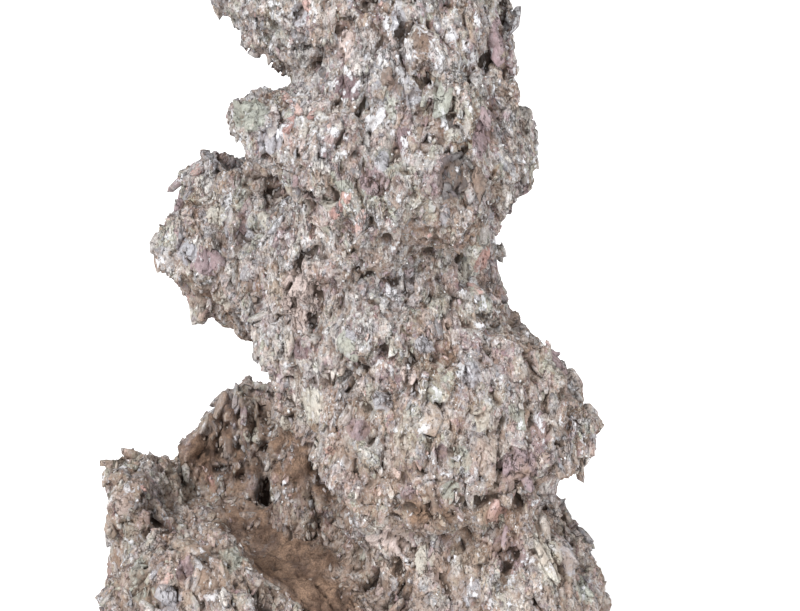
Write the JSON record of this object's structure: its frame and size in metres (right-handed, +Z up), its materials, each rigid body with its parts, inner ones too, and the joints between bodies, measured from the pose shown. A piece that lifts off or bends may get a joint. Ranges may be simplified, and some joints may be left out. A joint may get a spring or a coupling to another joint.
{
  "type": "viewing stone",
  "caption": "Tall free-standing viewing stone of coarse grey-mauve breccia: leaning stacked tiers, a knob and a shoulder on the left, a small basin at its foot, sawn flat underneath.",
  "frame": {"origin": "middle of the footprint of the stone's box, on its sawn underside", "axes": "+Z up along the height of the stone, -Y towards the viewer of its best side, +X to the right of that side"},
  "size_m": [0.1886, 0.1314, 0.3],
  "materials": {
    "breccia": "rough broken rock, dull grit with small bright crystal faces"
  },
  "bodies": {
    "root": {"stone": "breccia"}
  },
  "joints": []
}
